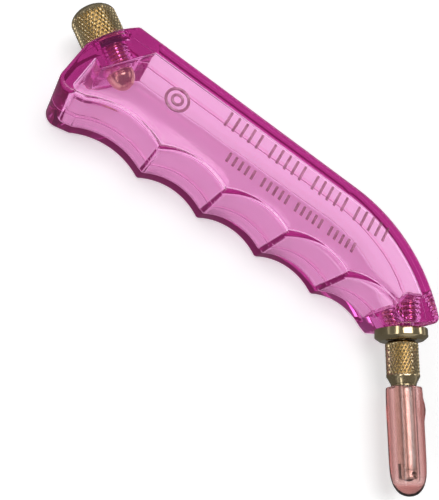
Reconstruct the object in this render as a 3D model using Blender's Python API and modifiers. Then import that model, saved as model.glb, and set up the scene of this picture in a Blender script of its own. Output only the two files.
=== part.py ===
"""Pistol-grip, oil-fed glass cutter.

The tool lies flat on one side of its grip.  +Z points up through the grip's side faces, and the
cutting head's axis runs along -Y.  The grip is a hollow oil tank of two welded half shells, with a
screwed filler cap at its upper end and a screwed brass head at its lower end.

Sizes are in millimetres in the tool's own frame, whose origin is where the head's axis leaves the
grip, half way through its thickness.  ORIGIN_SHIFT moves that frame, so that the finished model
stands with its origin under the middle of its bounding box.
"""
from math import atan2, ceil, cos, pi, radians, sin, sqrt, tau

import bmesh
import bpy
from mathutils import Vector

MM = 0.001
ORIGIN_SHIFT = (45.503, -17.895, 11.0)

# ---- driving dimensions, mm ---------------------------------------------------------------------
CLEARANCE = 0.3                  # between pieces that would touch
HALF_THICKNESS = 11.0            # of the grip
SPLIT_GAP = 0.15                 # each half shell stops this far from the weld plane
PLATE = 2.5                      # flat side wall of each half shell
WALL = 2.3                       # rim wall along the fingers and the spine
END_WALL = 3.4                   # rim wall at the upper end
EDGE_RADIUS = 1.1                # rounding of the grip's outer edges

FINGER_ANGLE = radians(-28.1)    # heading of the row of finger grooves
FIRST_CUSP = Vector((-73.5, 37.6))
GROOVE_CHORDS = (21.0, 19.3, 19.3, 19.2, 17.4)
GROOVE_DEPTHS = (3.0, 3.0, 3.0, 2.9, 2.4)
CUSP_RADIUS = 1.1
HEEL = Vector((-100.2, 50.1))
UPPER_CORNER = Vector((-91.9, 63.5))
SPINE_CORNER = Vector((-78.6, 70.5))
SPINE_START = Vector((-18.3, 35.5))
SPINE_ANGLE = radians(150.4)     # heading of the straight back of the grip
SPINE_CURVE_RADIUS = 48.4
END_FACE_Y = 0.3
LOWER_FINGER_CORNER = Vector((-5.4, END_FACE_Y))
LOWER_BACK_CORNER = Vector((5.6, END_FACE_Y))

FILLER_ANGLE = radians(27.0)     # lean of the filler's axis from +Y
FILLER_AXIS = Vector((-sin(FILLER_ANGLE), cos(FILLER_ANGLE)))
FILLER_SEAT = Vector((-84.9, 67.5))
CROWN_RADIUS = 28.5              # of the grip's upper end
CROWN_RISE = 0.45                # of that end above the filler's flat seat
FILLER_BOSS_DEPTH = 7.0
FILLER_BOSS_HALF_WIDTH = 7.2
HEAD_BOSS_Y = 7.5

CAP_RADIUS = 6.1
CAP_HEIGHT = 12.3
FILLER_THREAD_RADIUS = 3.6
FILLER_THREAD_END = -7.2
FILLER_DOME_END = -11.3
FLANGE_RADIUS = 7.3
FLANGE_END = -3.2
HEAD_THREAD_RADIUS = 3.4
HEAD_THREAD_END = 7.0
SOCKET_BORE_RADIUS = 2.45
BARREL_RADIUS = 4.55
BARREL_END = -15.4
NECK_RADIUS = 3.45
SPRING_BORE_RADIUS = 2.8
SPRING_BORE_TOP = -5.5
SHANK_RADIUS = 2.5
SHANK_TOP = -10.1
HEAD_TRAVEL = 1.0
HEAD_SCREW_Y = -11.6
WEDGE_TOP = -36.9
FORK_END = -39.4
FORK_HALF_WIDTH = 1.45
WHEEL_RADIUS = 2.0
WHEEL_Y = -38.2
SLEEVE_BORE_RADIUS = 2.85
SLEEVE_END = -44.0

ROUND_STEPS = 40
SMALL_STEPS = 24


# ---- scene and materials ------------------------------------------------------------------------
def clear_scene():
    for obj in list(bpy.data.objects):
        bpy.data.objects.remove(obj, do_unlink=True)


def new_collection(name):
    collection = bpy.data.collections.new(name)
    bpy.context.scene.collection.children.link(collection)
    return collection


def material(name, colour, roughness, metallic=0.0, transmission=0.0):
    made = bpy.data.materials.new(name)
    made.use_nodes = True
    shader = made.node_tree.nodes["Principled BSDF"]
    shader.inputs["Base Color"].default_value = (*colour, 1.0)
    shader.inputs["Roughness"].default_value = roughness
    shader.inputs["Metallic"].default_value = metallic
    shader.inputs["Transmission Weight"].default_value = transmission
    made.diffuse_color = (*colour, 1.0)
    return made


# ---- outlines of straight and round sides -------------------------------------------------------
class Straight:
    """A straight side: a point on it and its heading.  The body lies on its left."""

    def __init__(self, point, heading):
        self.point = Vector(point)
        self.heading = heading
        self.along = Vector((cos(heading), sin(heading)))

    def inset(self, distance):
        inward = Vector((-self.along.y, self.along.x))
        return Straight(self.point + inward * distance, self.heading)

    def nearest(self, point):
        return self.point + self.along * (point - self.point).dot(self.along)

    def count(self, start, end, spacing):
        return 1

    def samples(self, start, end, count):
        return [start.lerp(end, step / count) for step in range(count)]


class Round:
    """A round side: a circle that bulges out of the body, or hollows into it."""

    def __init__(self, centre, radius, hollow=False):
        self.centre = Vector(centre)
        self.radius = radius
        self.hollow = hollow

    def inset(self, distance):
        change = distance if self.hollow else -distance
        return Round(self.centre, self.radius + change, self.hollow)

    def nearest(self, point):
        return self.centre + (point - self.centre).normalized() * self.radius

    def angles(self, start, end):
        first = atan2(start.y - self.centre.y, start.x - self.centre.x)
        last = atan2(end.y - self.centre.y, end.x - self.centre.x)
        return first, (last - first + pi) % tau - pi

    def count(self, start, end, spacing):
        turn = self.angles(start, end)[1]
        return max(1, ceil(abs(turn) * self.radius / spacing))

    def samples(self, start, end, count):
        first, turn = self.angles(start, end)
        angles = [first + turn * step / count for step in range(count)]
        return [self.centre + Vector((cos(angle), sin(angle))) * self.radius for angle in angles]


def meeting(one, other, near):
    """Where two sides meet, at the place nearest to a point."""
    if isinstance(one, Straight) and isinstance(other, Straight):
        across = one.along.cross(other.along)
        return one.point + one.along * ((other.point - one.point).cross(other.along) / across)
    if isinstance(one, Round) and isinstance(other, Straight):
        one, other = other, one
    if isinstance(one, Straight):
        middle = one.nearest(other.centre)
        reach = sqrt(max(0.0, other.radius ** 2 - (middle - other.centre).length_squared))
        aside = one.along * reach
    else:
        gap = other.centre - one.centre
        ahead = (gap.length_squared + one.radius ** 2 - other.radius ** 2) / (2 * gap.length)
        reach = sqrt(max(0.0, one.radius ** 2 - ahead ** 2))
        middle = one.centre + gap.normalized() * ahead
        aside = Vector((-gap.y, gap.x)).normalized() * reach
    return min((middle + aside, middle - aside), key=lambda point: (point - near).length)


class Outline:
    """A closed outline.  corners[i] is the (place, radius) where sides[i] meets sides[i + 1].

    A negative radius fills an inward corner.
    """

    SHARPEST = 0.05

    def __init__(self, sides, corners, spacing=2.0, corner_spacing=0.8):
        self.sides = sides
        self.corners = corners
        self.spacing = spacing
        self.corner_spacing = corner_spacing

    def fillet(self, index, insets):
        """Centre, radius, start and end of one corner's rounding on the inset sides."""
        after = (index + 1) % len(self.sides)
        near, radius = self.corners[index]
        left = radius - max(insets[index], insets[after])
        if radius > 0:
            left = max(left, self.SHARPEST)
        one = self.sides[index]
        other = self.sides[after]
        centre = meeting(one.inset(insets[index] + left), other.inset(insets[after] + left), Vector(near))
        start = one.inset(insets[index]).nearest(centre)
        end = other.inset(insets[after]).nearest(centre)
        return Round(centre, abs(left)), start, end

    def spans(self, insets):
        """Every side and corner rounding in turn, with its start and end."""
        fillets = [self.fillet(index, insets) for index in range(len(self.sides))]
        for index, side in enumerate(self.sides):
            rounding, start, end = fillets[index]
            yield side.inset(insets[index]), fillets[index - 1][2], start, self.spacing
            yield rounding, start, end, self.corner_spacing

    def points(self, insets=None):
        """The outline's points, moved inwards: always the same number of them."""
        whole = [0.0] * len(self.sides)
        counts = [side.count(start, end, spacing) for side, start, end, spacing in self.spans(whole)]
        found = []
        for count, (side, start, end, _) in zip(counts, self.spans(insets or whole)):
            found += side.samples(start, end, count)
        return found


# ---- the grip's outline -------------------------------------------------------------------------
def heading(start, end):
    return atan2(end.y - start.y, end.x - start.x)


def finger_cusps():
    along = Vector((cos(FINGER_ANGLE), sin(FINGER_ANGLE)))
    cusps = [FIRST_CUSP - along * GROOVE_CHORDS[0]]
    for chord in GROOVE_CHORDS:
        cusps.append(cusps[-1] + along * chord)
    return cusps


def finger_grooves(cusps):
    outward = Vector((sin(FINGER_ANGLE), -cos(FINGER_ANGLE)))
    grooves = []
    for start, end, chord, depth in zip(cusps, cusps[1:], GROOVE_CHORDS, GROOVE_DEPTHS):
        radius = (chord ** 2 / 4 + depth ** 2) / (2 * depth)
        centre = start.lerp(end, 0.5) + outward * (radius - depth)
        grooves.append(Round(centre, radius, hollow=True))
    return grooves


def spine_sides():
    to_centre = Vector((-sin(SPINE_ANGLE), cos(SPINE_ANGLE)))
    curve = Round(SPINE_START + to_centre * SPINE_CURVE_RADIUS, SPINE_CURVE_RADIUS)
    return [curve, Straight(SPINE_START, SPINE_ANGLE)]


def grip_outline():
    """The grip's outer outline, counterclockwise from the curved lower back."""
    cusps = finger_cusps()
    crown = Round(FILLER_SEAT + FILLER_AXIS * (CROWN_RISE - CROWN_RADIUS), CROWN_RADIUS)
    sides = spine_sides() + [crown]
    sides.append(Straight(UPPER_CORNER, heading(UPPER_CORNER, HEEL)))
    sides.append(Straight(HEEL, heading(HEEL, cusps[0])))
    sides += finger_grooves(cusps)
    sides.append(Straight(cusps[-1], heading(cusps[-1], LOWER_FINGER_CORNER)))
    sides.append(Straight(LOWER_FINGER_CORNER, 0.0))
    corners = [(SPINE_START, 0.01), (SPINE_CORNER, 1.3), (UPPER_CORNER, 2.2), (HEEL, 3.6), (cusps[0], 2.0)]
    corners += [(cusp, CUSP_RADIUS) for cusp in cusps[1:-1]]
    corners += [(cusps[-1], 1.0), (LOWER_FINGER_CORNER, 1.2), (LOWER_BACK_CORNER, 1.8)]
    return Outline(sides, corners)


def tank_outline():
    """The oil tank's outline: one wall inside the grip's, and closed by a boss at each end."""
    cusps = finger_cusps()
    seat = FILLER_SEAT - FILLER_AXIS * FILLER_BOSS_DEPTH
    across = Vector((FILLER_AXIS.y, -FILLER_AXIS.x))
    ramp_top = Vector((-3.4, HEAD_BOSS_Y))
    sides = [side.inset(WALL) for side in spine_sides()]
    boss_corner = seat - across * FILLER_BOSS_HALF_WIDTH
    sides.append(Straight(seat, FILLER_ANGLE + pi))
    sides.append(Straight(boss_corner, FILLER_ANGLE + pi / 2))
    sides.append(Straight(UPPER_CORNER, heading(UPPER_CORNER, HEEL)).inset(END_WALL))
    sides.append(Straight(HEEL, heading(HEEL, cusps[0])).inset(WALL))
    sides += [groove.inset(WALL) for groove in finger_grooves(cusps)]
    sides.append(Straight(ramp_top, radians(45)))
    sides.append(Straight(ramp_top, 0.0))
    corners = [(SPINE_START, 0.01), (seat + across * 9, 0.8), (boss_corner, -0.5), (boss_corner, 0.6), (HEEL, 1.5)]
    corners += [(cusp, 0.3) for cusp in cusps[:-1]]
    corners += [(Vector((-7.2, 4.2)), 0.5), (ramp_top, -0.5), (Vector((2.0, HEAD_BOSS_Y)), 0.6)]
    return Outline(sides, corners)


# ---- mesh helpers -------------------------------------------------------------------------------
def add_object(name, mesh, collection, parent, finish=None):
    obj = bpy.data.objects.new(name, mesh)
    collection.objects.link(obj)
    obj.parent = parent
    if finish:
        mesh.materials.append(finish)
    return obj


def loft(name, rings):
    """A closed body through rings of equal point count, bottom ring first."""
    mesh = bpy.data.meshes.new(name)
    body = bmesh.new()
    loops = [[body.verts.new(Vector(point) * MM) for point in ring] for ring in rings]
    count = len(loops[0])
    for lower, upper in zip(loops, loops[1:]):
        for index in range(count):
            after = (index + 1) % count
            body.faces.new((lower[index], lower[after], upper[after], upper[index]))
    body.faces.new(list(reversed(loops[0])))
    body.faces.new(loops[-1])
    bmesh.ops.recalc_face_normals(body, faces=body.faces)
    body.to_mesh(mesh)
    body.free()
    return mesh


def level(points, height):
    return [(point.x, point.y, height) for point in points]


def smooth(obj):
    obj.data.shade_smooth()
    obj.data.set_sharp_from_angle(angle=radians(35))


def turned(name, profile, collection, parent, finish=None, steps=ROUND_STEPS):
    """A turned piece about local Z.  profile is (radius, height), down its outer side."""
    mesh = bpy.data.meshes.new(name)
    edges = [(index, index + 1) for index in range(len(profile) - 1)]
    if profile[0][0] > 0:
        edges.append((len(profile) - 1, 0))
    mesh.from_pydata([(radius * MM, 0, height * MM) for radius, height in profile], edges, [])
    obj = add_object(name, mesh, collection, parent, finish)
    screw = obj.modifiers.new("Turn", "SCREW")
    screw.steps = steps
    screw.render_steps = steps
    screw.use_merge_vertices = True
    screw.merge_threshold = 0.000001
    return obj


def rod(radius, top, bottom):
    return [(0, top), (radius, top), (radius, bottom), (0, bottom)]


def tube(outer, inner, top, bottom):
    return [(outer, top), (outer, bottom), (inner, bottom), (inner, top)]


def ring_section(major, minor, height, sides=8):
    """An O-ring's section from its top, so that its outer side runs down."""
    angles = [pi / 2 - tau * index / sides for index in range(sides)]
    return [(major + minor * cos(angle), height + minor * sin(angle)) for angle in angles]


def block(name, low, high, collection, parent):
    mesh = bpy.data.meshes.new(name)
    body = bmesh.new()
    bmesh.ops.create_cube(body, size=1.0)
    bmesh.ops.scale(body, vec=(Vector(high) - Vector(low)) * MM, verts=body.verts)
    bmesh.ops.translate(body, vec=(Vector(high) + Vector(low)) / 2 * MM, verts=body.verts)
    body.to_mesh(mesh)
    body.free()
    return add_object(name, mesh, collection, parent)


def cut(obj, *cutters):
    for cutter in cutters:
        cutter.hide_render = True
        cutter.display_type = "WIRE"
        modifier = obj.modifiers.new(cutter.name, "BOOLEAN")
        modifier.operation = "DIFFERENCE"
        modifier.solver = "EXACT"
        modifier.object = cutter


def empty(name, collection, location, parent=None, rotation=(0, 0, 0)):
    obj = bpy.data.objects.new(name, None)
    obj.empty_display_size = 0.005
    obj.location = Vector(location) * MM
    obj.rotation_euler = rotation
    obj.parent = parent
    collection.objects.link(obj)
    return obj


# ---- the grip -----------------------------------------------------------------------------------
def shell_rings():
    """Rings of the upper half shell, from the weld plane out over its rounded edge."""
    grip = grip_outline()
    rings = [level(grip.points(), SPLIT_GAP)]
    steps = 3
    for step in range(steps + 1):
        angle = pi / 2 * step / steps
        inset = EDGE_RADIUS * (1 - cos(angle))
        height = HALF_THICKNESS - EDGE_RADIUS * (1 - sin(angle))
        rings.append(level(grip.points([inset] * len(grip.sides)), height))
    return rings


def grip_cutters(guides, frame, filler, head):
    tank = tank_outline().points()
    depth = HALF_THICKNESS - PLATE
    tank_mesh = loft("tank_cutter", [level(tank, -depth), level(tank, depth)])
    filler_bore = FILLER_THREAD_RADIUS + CLEARANCE
    head_bore = HEAD_THREAD_RADIUS + CLEARANCE
    seat_profile = [(0, 5), (6.4, 5), (6.4, 0), (5.0, 0), (5.0, -1.4), (filler_bore, -1.4),
                    (filler_bore, -9), (0, -9)]
    inlet_profile = [(0, 9), (head_bore, 9), (head_bore, 1.5), (4.75, 1.5), (4.75, -1), (0, -1)]
    return [
        add_object("tank_cutter", tank_mesh, guides, frame),
        turned("filler_cutter", seat_profile, guides, filler),
        turned("inlet_cutter", inlet_profile, guides, head),
    ]


def make_grip(parts, frame, cutters, finishes):
    rings = shell_rings()
    mirrored = [[(x, y, -z) for x, y, z in ring] for ring in reversed(rings)]
    front = add_object("grip_front_shell", loft("grip_front_shell", rings), parts, frame, finishes["front"])
    back = add_object("grip_back_shell", loft("grip_back_shell", mirrored), parts, frame, finishes["back"])
    for shell in (front, back):
        smooth(shell)
        cut(shell, *cutters)


# ---- filler -------------------------------------------------------------------------------------
def make_filler(parts, filler, finishes):
    base = CLEARANCE
    top = base + CAP_HEIGHT
    crown = [(0, top), (1.6, top - 0.1), (3.1, top - 0.45), (4.5, top - 1.1), (5.5, top - 2.0),
             (CAP_RADIUS, top - 3.0)]
    side = [(CAP_RADIUS, base + 0.3), (CAP_RADIUS - 0.3, base), (FILLER_THREAD_RADIUS, base),
            (FILLER_THREAD_RADIUS, FILLER_THREAD_END)]
    dome = [(3.5, -8.4), (3.0, -9.7), (2.0, -10.7), (0.9, -11.2), (0, FILLER_DOME_END)]
    profile = crown + side + dome
    smooth(turned("filler_cap", profile, parts, filler, finishes["cap"]))
    turned("filler_cap_seal", ring_section(4.3, 0.5, -0.65), parts, filler, finishes["filler_seal"], SMALL_STEPS)


# ---- socket and barrel --------------------------------------------------------------------------
def make_socket(parts, head, finishes):
    profile = [(HEAD_THREAD_RADIUS, HEAD_THREAD_END), (HEAD_THREAD_RADIUS, 0), (FLANGE_RADIUS, 0),
               (FLANGE_RADIUS, -2.2), (6.0, FLANGE_END), (3.6, FLANGE_END), (3.6, FLANGE_END + 1.0),
               (SOCKET_BORE_RADIUS, FLANGE_END + 1.0), (SOCKET_BORE_RADIUS, 4.5), (1.2, 4.5),
               (1.2, HEAD_THREAD_END)]
    turned("head_socket", profile, parts, head, finishes["socket"])
    turned("socket_seal", ring_section(4.15, 0.4, 0.85), parts, head, finishes["socket_seal"], SMALL_STEPS)


def make_barrel(parts, guides, head, finishes):
    shoulder = FLANGE_END - CLEARANCE
    profile = [(2.15, 1.0), (2.15, shoulder), (4.0, shoulder), (BARREL_RADIUS, shoulder - 0.5),
               (BARREL_RADIUS, -13.0), (BARREL_RADIUS - 0.3, -13.4), (NECK_RADIUS, -15.0),
               (NECK_RADIUS, BARREL_END), (SPRING_BORE_RADIUS, BARREL_END),
               (SPRING_BORE_RADIUS, SPRING_BORE_TOP), (1.0, SPRING_BORE_TOP), (1.0, 1.0)]
    barrel = turned("head_barrel", profile, parts, head, finishes["barrel"])
    hole = turned("head_screw_cutter", rod(1.25, -2.0, -6.0), guides, head, steps=SMALL_STEPS)
    hole.location = (0, 0, HEAD_SCREW_Y * MM)
    hole.rotation_euler = (radians(90), 0, 0)
    cut(barrel, hole)
    turned("barrel_seal", ring_section(2.85, 0.4, -2.72), parts, head, finishes["barrel_seal"], SMALL_STEPS)


def make_head_screw(parts, head, finish):
    """A hollow-ended set screw with a dog point, square to the barrel, on the side the tool lies on."""
    screw = turned("head_screw", [(0, -1.75), (0.6, -1.75), (0.6, -2.95), (1.0, -2.95), (1.0, -4.2), (0, -4.2)],
                   parts, head, finish, SMALL_STEPS)
    screw.location = (0, 0, HEAD_SCREW_Y * MM)
    screw.rotation_euler = (radians(90), 0, 0)


# ---- valve --------------------------------------------------------------------------------------
def make_valve(parts, head, finishes):
    stem = [(0, 3.0), (1.2, 3.0), (1.7, 2.5), (1.7, 2.0), (0.65, 2.0), (0.65, SHANK_TOP + 0.2), (0, SHANK_TOP + 0.2)]
    turned("valve_stem", stem, parts, head, finishes["stem"], SMALL_STEPS)
    turned("valve_seal", tube(1.55, 0.8, 1.8, 1.2), parts, head, finishes["valve_seal"], SMALL_STEPS)
    turned("valve_collar", tube(2.4, 0.8, SHANK_TOP + 1.2, SHANK_TOP + 0.2), parts, head, finishes["collar"],
           SMALL_STEPS)


def make_spring(parts, head, finish):
    """The valve's return spring, short of its roof by the head's travel."""
    turns = 3
    low = SHANK_TOP + 1.2 + 0.4
    high = SPRING_BORE_TOP - HEAD_TRAVEL - 0.45
    steps = turns * 12
    curve = bpy.data.curves.new("valve_spring", "CURVE")
    curve.dimensions = "3D"
    curve.bevel_depth = 0.25 * MM
    curve.bevel_resolution = 1
    curve.use_fill_caps = True
    spline = curve.splines.new("POLY")
    spline.points.add(steps)
    for index, point in enumerate(spline.points):
        angle = tau * index / 12
        height = low + (high - low) * index / steps
        point.co = (2.2 * cos(angle) * MM, 2.2 * sin(angle) * MM, height * MM, 1)
    obj = bpy.data.objects.new("valve_spring", curve)
    obj.parent = head
    curve.materials.append(finish)
    parts.objects.link(obj)


# ---- cutting head -------------------------------------------------------------------------------
def make_cutting_head(parts, guides, head, finishes):
    profile = [(0.9, SHANK_TOP), (SHANK_RADIUS - 0.3, SHANK_TOP), (SHANK_RADIUS, SHANK_TOP - 0.3),
               (SHANK_RADIUS, FORK_END), (0.9, FORK_END)]
    cutter_head = turned("cutting_head", profile, parts, head, finishes["head"], SMALL_STEPS + 8)
    slope = (SHANK_RADIUS - FORK_HALF_WIDTH) / (WEDGE_TOP - FORK_END)
    cutters = []
    for side in (1, -1):
        flat = block("fork_flat_cutter", (-3, 0, -6), (3, 3, 2), guides, head)
        flat.location = (0, side * SHANK_RADIUS * MM, WEDGE_TOP * MM)
        flat.rotation_euler = (side * slope, 0, 0)
        if side < 0:
            flat.rotation_euler = (slope, 0, pi)
        cutters.append(flat)
    cutters.append(block("wheel_slot_cutter", (-3, -0.8, FORK_END - 1), (3, 0.8, WHEEL_Y + 2.5), guides, head))
    cutters.append(block("screw_pocket_cutter", (-1.2, 1.35, -13.4), (1.2, 3.0, -10.8), guides, head))
    axle_hole = turned("axle_hole_cutter", rod(0.66, 4, -4), guides, head, steps=16)
    axle_hole.location = (0, 0, WHEEL_Y * MM)
    axle_hole.rotation_euler = (radians(90), 0, 0)
    cutters.append(axle_hole)
    cut(cutter_head, *cutters)


def make_wheel(parts, head, finishes):
    """The carbide wheel, with its edge ground to a blunt V, and the pin that it turns on."""
    rim = WHEEL_RADIUS - 0.18
    profile = [(rim, 0.5), (WHEEL_RADIUS, 0), (rim, -0.5), (0.7, -0.5), (0.7, 0.5)]
    wheel = turned("cutting_wheel", profile, parts, head, finishes["wheel"], ROUND_STEPS)
    axle = turned("wheel_axle", rod(0.6, 1.6, -1.6), parts, head, finishes["axle"], 16)
    for piece in (wheel, axle):
        piece.location = (0, 0, WHEEL_Y * MM)
        piece.rotation_euler = (radians(90), 0, 0)


def make_wick(parts, head, finish):
    turned("oil_wick", rod(0.6, SHANK_TOP - 0.5, WHEEL_Y + WHEEL_RADIUS + 0.7), parts, head, finish, 12)


# ---- protective sleeve --------------------------------------------------------------------------
def make_sleeve(parts, head, finish):
    """The closed vinyl sleeve over the cutting head, swollen a little below its rim.

    Its profile runs up its inner side from the axis, over the rim and down outside.
    """
    rim = BARREL_END - CLEARANCE
    profile = [(4.6, rim), (4.85, rim - 0.3), (4.95, -17.5), (5.2, -19.8), (5.26, -21.8), (5.1, -24.0),
               (4.98, -28.0), (4.92, -35.0), (4.75, -38.6), (4.4, -40.3), (3.7, -42.0), (2.5, -43.3),
               (1.2, -43.9), (0, SLEEVE_END)]
    inside = [(0, -41.0), (1.8, -40.9), (SLEEVE_BORE_RADIUS, -39.8), (SLEEVE_BORE_RADIUS, rim)]
    smooth(turned("protective_cap", inside + profile, parts, head, finish))


# ---- assembly -----------------------------------------------------------------------------------
def make_finishes():
    acrylic = (0.93, 0.45, 0.78)
    brass = (0.62, 0.5, 0.29)
    steel = (0.62, 0.61, 0.6)
    black = (0.03, 0.03, 0.03)
    return {
        "front": material("front_shell_acrylic", acrylic, 0.08, transmission=0.9),
        "back": material("back_shell_acrylic", acrylic, 0.08, transmission=0.9),
        "cap": material("cap_brass", brass, 0.3, 1.0),
        "filler_seal": material("filler_seal_rubber", black, 0.6),
        "socket": material("socket_brass", brass, 0.28, 1.0),
        "socket_seal": material("socket_seal_rubber", black, 0.6),
        "barrel": material("barrel_brass", brass, 0.3, 1.0),
        "barrel_seal": material("barrel_seal_rubber", black, 0.6),
        "screw": material("screw_steel", steel, 0.35, 1.0),
        "stem": material("stem_brass", brass, 0.35, 1.0),
        "valve_seal": material("valve_seal_rubber", black, 0.6),
        "collar": material("collar_brass", brass, 0.35, 1.0),
        "spring": material("spring_steel", steel, 0.3, 1.0),
        "head": material("head_steel", steel, 0.32, 1.0),
        "wheel": material("wheel_carbide", (0.35, 0.35, 0.37), 0.25, 1.0),
        "axle": material("axle_steel", (0.5, 0.5, 0.52), 0.25, 1.0),
        "wick": material("wick_cotton", (0.85, 0.82, 0.74), 0.9),
        "sleeve": material("sleeve_vinyl", (0.93, 0.5, 0.45), 0.25, transmission=0.7),
    }


def main():
    clear_scene()
    parts = new_collection("glass_cutter")
    guides = new_collection("glass_cutter_cutters")
    finishes = make_finishes()
    frame = empty("tool_frame", guides, ORIGIN_SHIFT)
    head = empty("head_axis", guides, (0, 0, 0), frame, (radians(-90), 0, 0))
    filler = empty("filler_axis", guides, (*FILLER_SEAT, 0), frame, (radians(-90), 0, FILLER_ANGLE))
    make_grip(parts, frame, grip_cutters(guides, frame, filler, head), finishes)
    make_filler(parts, filler, finishes)
    make_socket(parts, head, finishes)
    make_barrel(parts, guides, head, finishes)
    make_head_screw(parts, head, finishes["screw"])
    make_valve(parts, head, finishes)
    make_spring(parts, head, finishes["spring"])
    make_cutting_head(parts, guides, head, finishes)
    make_wheel(parts, head, finishes)
    make_wick(parts, head, finishes["wick"])
    make_sleeve(parts, head, finishes["sleeve"])


main()
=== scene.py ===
"""Looks of the pistol-grip glass cutter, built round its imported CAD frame.

Sizes are in millimetres in the tool's own frame: its origin is where the head's axis leaves the grip,
half way through the grip's thickness, and the head points along -Y.
"""

from math import atan2, ceil, cos, floor, pi, radians, sin, sqrt, tan, tau

import bmesh
import bpy
from mathutils import Matrix, Vector


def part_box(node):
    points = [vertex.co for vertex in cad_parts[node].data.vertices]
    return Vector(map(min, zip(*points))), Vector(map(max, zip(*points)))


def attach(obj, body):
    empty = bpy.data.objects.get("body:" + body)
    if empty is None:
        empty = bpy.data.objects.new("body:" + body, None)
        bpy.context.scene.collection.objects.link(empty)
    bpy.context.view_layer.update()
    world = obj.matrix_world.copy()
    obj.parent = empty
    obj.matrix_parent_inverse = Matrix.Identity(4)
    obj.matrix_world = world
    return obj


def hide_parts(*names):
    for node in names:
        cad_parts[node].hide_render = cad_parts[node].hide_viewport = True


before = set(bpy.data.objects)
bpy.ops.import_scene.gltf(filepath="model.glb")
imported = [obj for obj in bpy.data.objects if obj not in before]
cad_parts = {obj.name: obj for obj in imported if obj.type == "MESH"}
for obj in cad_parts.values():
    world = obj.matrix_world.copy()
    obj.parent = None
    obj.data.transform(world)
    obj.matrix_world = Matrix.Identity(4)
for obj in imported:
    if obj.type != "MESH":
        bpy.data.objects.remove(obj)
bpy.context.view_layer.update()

MM = 0.001

# ---- the grip's dimensions, as in the CAD model -------------------------------------------------
HALF_THICKNESS = 11.0
PLATE = 2.5
WALL = 2.3
END_WALL = 3.4
EDGE_RADIUS = 1.1
FINGER_ANGLE = radians(-28.1)
FIRST_CUSP = Vector((-73.5, 37.6))
GROOVE_CHORDS = (21.0, 19.3, 19.3, 19.2, 17.4)
GROOVE_DEPTHS = (3.0, 3.0, 3.0, 2.9, 2.4)
CUSP_RADIUS = 1.1
HEEL = Vector((-100.2, 50.1))
UPPER_CORNER = Vector((-91.9, 63.5))
SPINE_CORNER = Vector((-78.6, 70.5))
SPINE_START = Vector((-18.3, 35.5))
SPINE_ANGLE = radians(150.4)
SPINE_CURVE_RADIUS = 48.4
END_FACE_Y = 0.3
LOWER_FINGER_CORNER = Vector((-5.4, END_FACE_Y))
LOWER_BACK_CORNER = Vector((5.6, END_FACE_Y))
FILLER_ANGLE = radians(27.0)
FILLER_AXIS = Vector((-sin(FILLER_ANGLE), cos(FILLER_ANGLE)))
FILLER_SEAT = Vector((-84.9, 67.5))
CROWN_RADIUS = 28.5
CROWN_RISE = 0.45
FILLER_BOSS_DEPTH = 7.0
FILLER_BOSS_HALF_WIDTH = 7.2
HEAD_BOSS_Y = 7.5

# ---- looks of the grip --------------------------------------------------------------------------
SEAM_OVERLAP = 0.01              # the welded halves meet with no air between them
SEAM_BEVEL = 0.16
TANK_FILLET = 1.4
MARK_RISE = 0.36
MARK_SINK = 0.06
MARK_STROKE = 0.75

# ---- brass and steel ----------------------------------------------------------------------------
CAP_RADIUS = 6.1
CAP_HEIGHT = 12.3
CAP_BASE = 0.3
CAP_KNURLS = 36
CAP_KNURL_DEPTH = 0.46
STEM_RADIUS = 3.6
STEM_PITCH = 1.0
FLANGE_RADIUS = 7.3
BARREL_RADIUS = 4.55
BARREL_KNURLS = 28
BARREL_KNURL_DEPTH = 0.4
KNURL_ANGLE = radians(30)        # from the axis
KNURL_STEPS = 8                  # of the mesh, for each knurl
SOCKET_THREAD_RADIUS = 3.4
SOCKET_PITCH = 1.25
SHANK_TOP = -10.1
SCREW_Y = -11.6
FORK_END = -39.4
WHEEL_Y = -38.2
WHEEL_RADIUS = 2.0
SLEEVE_END = -44.0
BULGE_Y = -21.6
BULGE_REACH = 3.6
BULGE_RISE = 0.5
BULGE_SIDE = radians(-15)

FINE_STEPS = 96


# ---- frames -------------------------------------------------------------------------------------
def tool_origin():
    """The tool frame's origin in the row frame, from the socket's axis and flange."""
    low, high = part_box("head_socket")
    thread_end = 7.0
    middle = (low + high) / 2
    return Vector((middle.x, high.y - thread_end * MM, middle.z))


ORIGIN = tool_origin()
TOOL = Matrix.Translation(ORIGIN) @ Matrix.Scale(MM, 4)
HEAD = TOOL @ Matrix.Rotation(radians(-90), 4, "X")
FILLER = (TOOL @ Matrix.Translation((*FILLER_SEAT, 0)) @ Matrix.Rotation(FILLER_ANGLE, 4, "Z")
          @ Matrix.Rotation(radians(-90), 4, "X"))


def cross_axis(height):
    """A frame square to the head's axis, whose Z points out of the grip's upper side."""
    return HEAD @ Matrix.Translation((0, 0, height)) @ Matrix.Rotation(radians(90), 4, "X")


# ---- outlines of straight and round sides -------------------------------------------------------
class Straight:
    """A straight side: a point on it and its heading.  The body lies on its left."""

    def __init__(self, point, heading):
        self.point = Vector(point)
        self.heading = heading
        self.along = Vector((cos(heading), sin(heading)))

    def inset(self, distance):
        inward = Vector((-self.along.y, self.along.x))
        return Straight(self.point + inward * distance, self.heading)

    def nearest(self, point):
        return self.point + self.along * (point - self.point).dot(self.along)

    def count(self, start, end, spacing):
        return max(1, ceil((end - start).length / spacing / 4))

    def samples(self, start, end, count):
        return [start.lerp(end, step / count) for step in range(count)]


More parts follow.
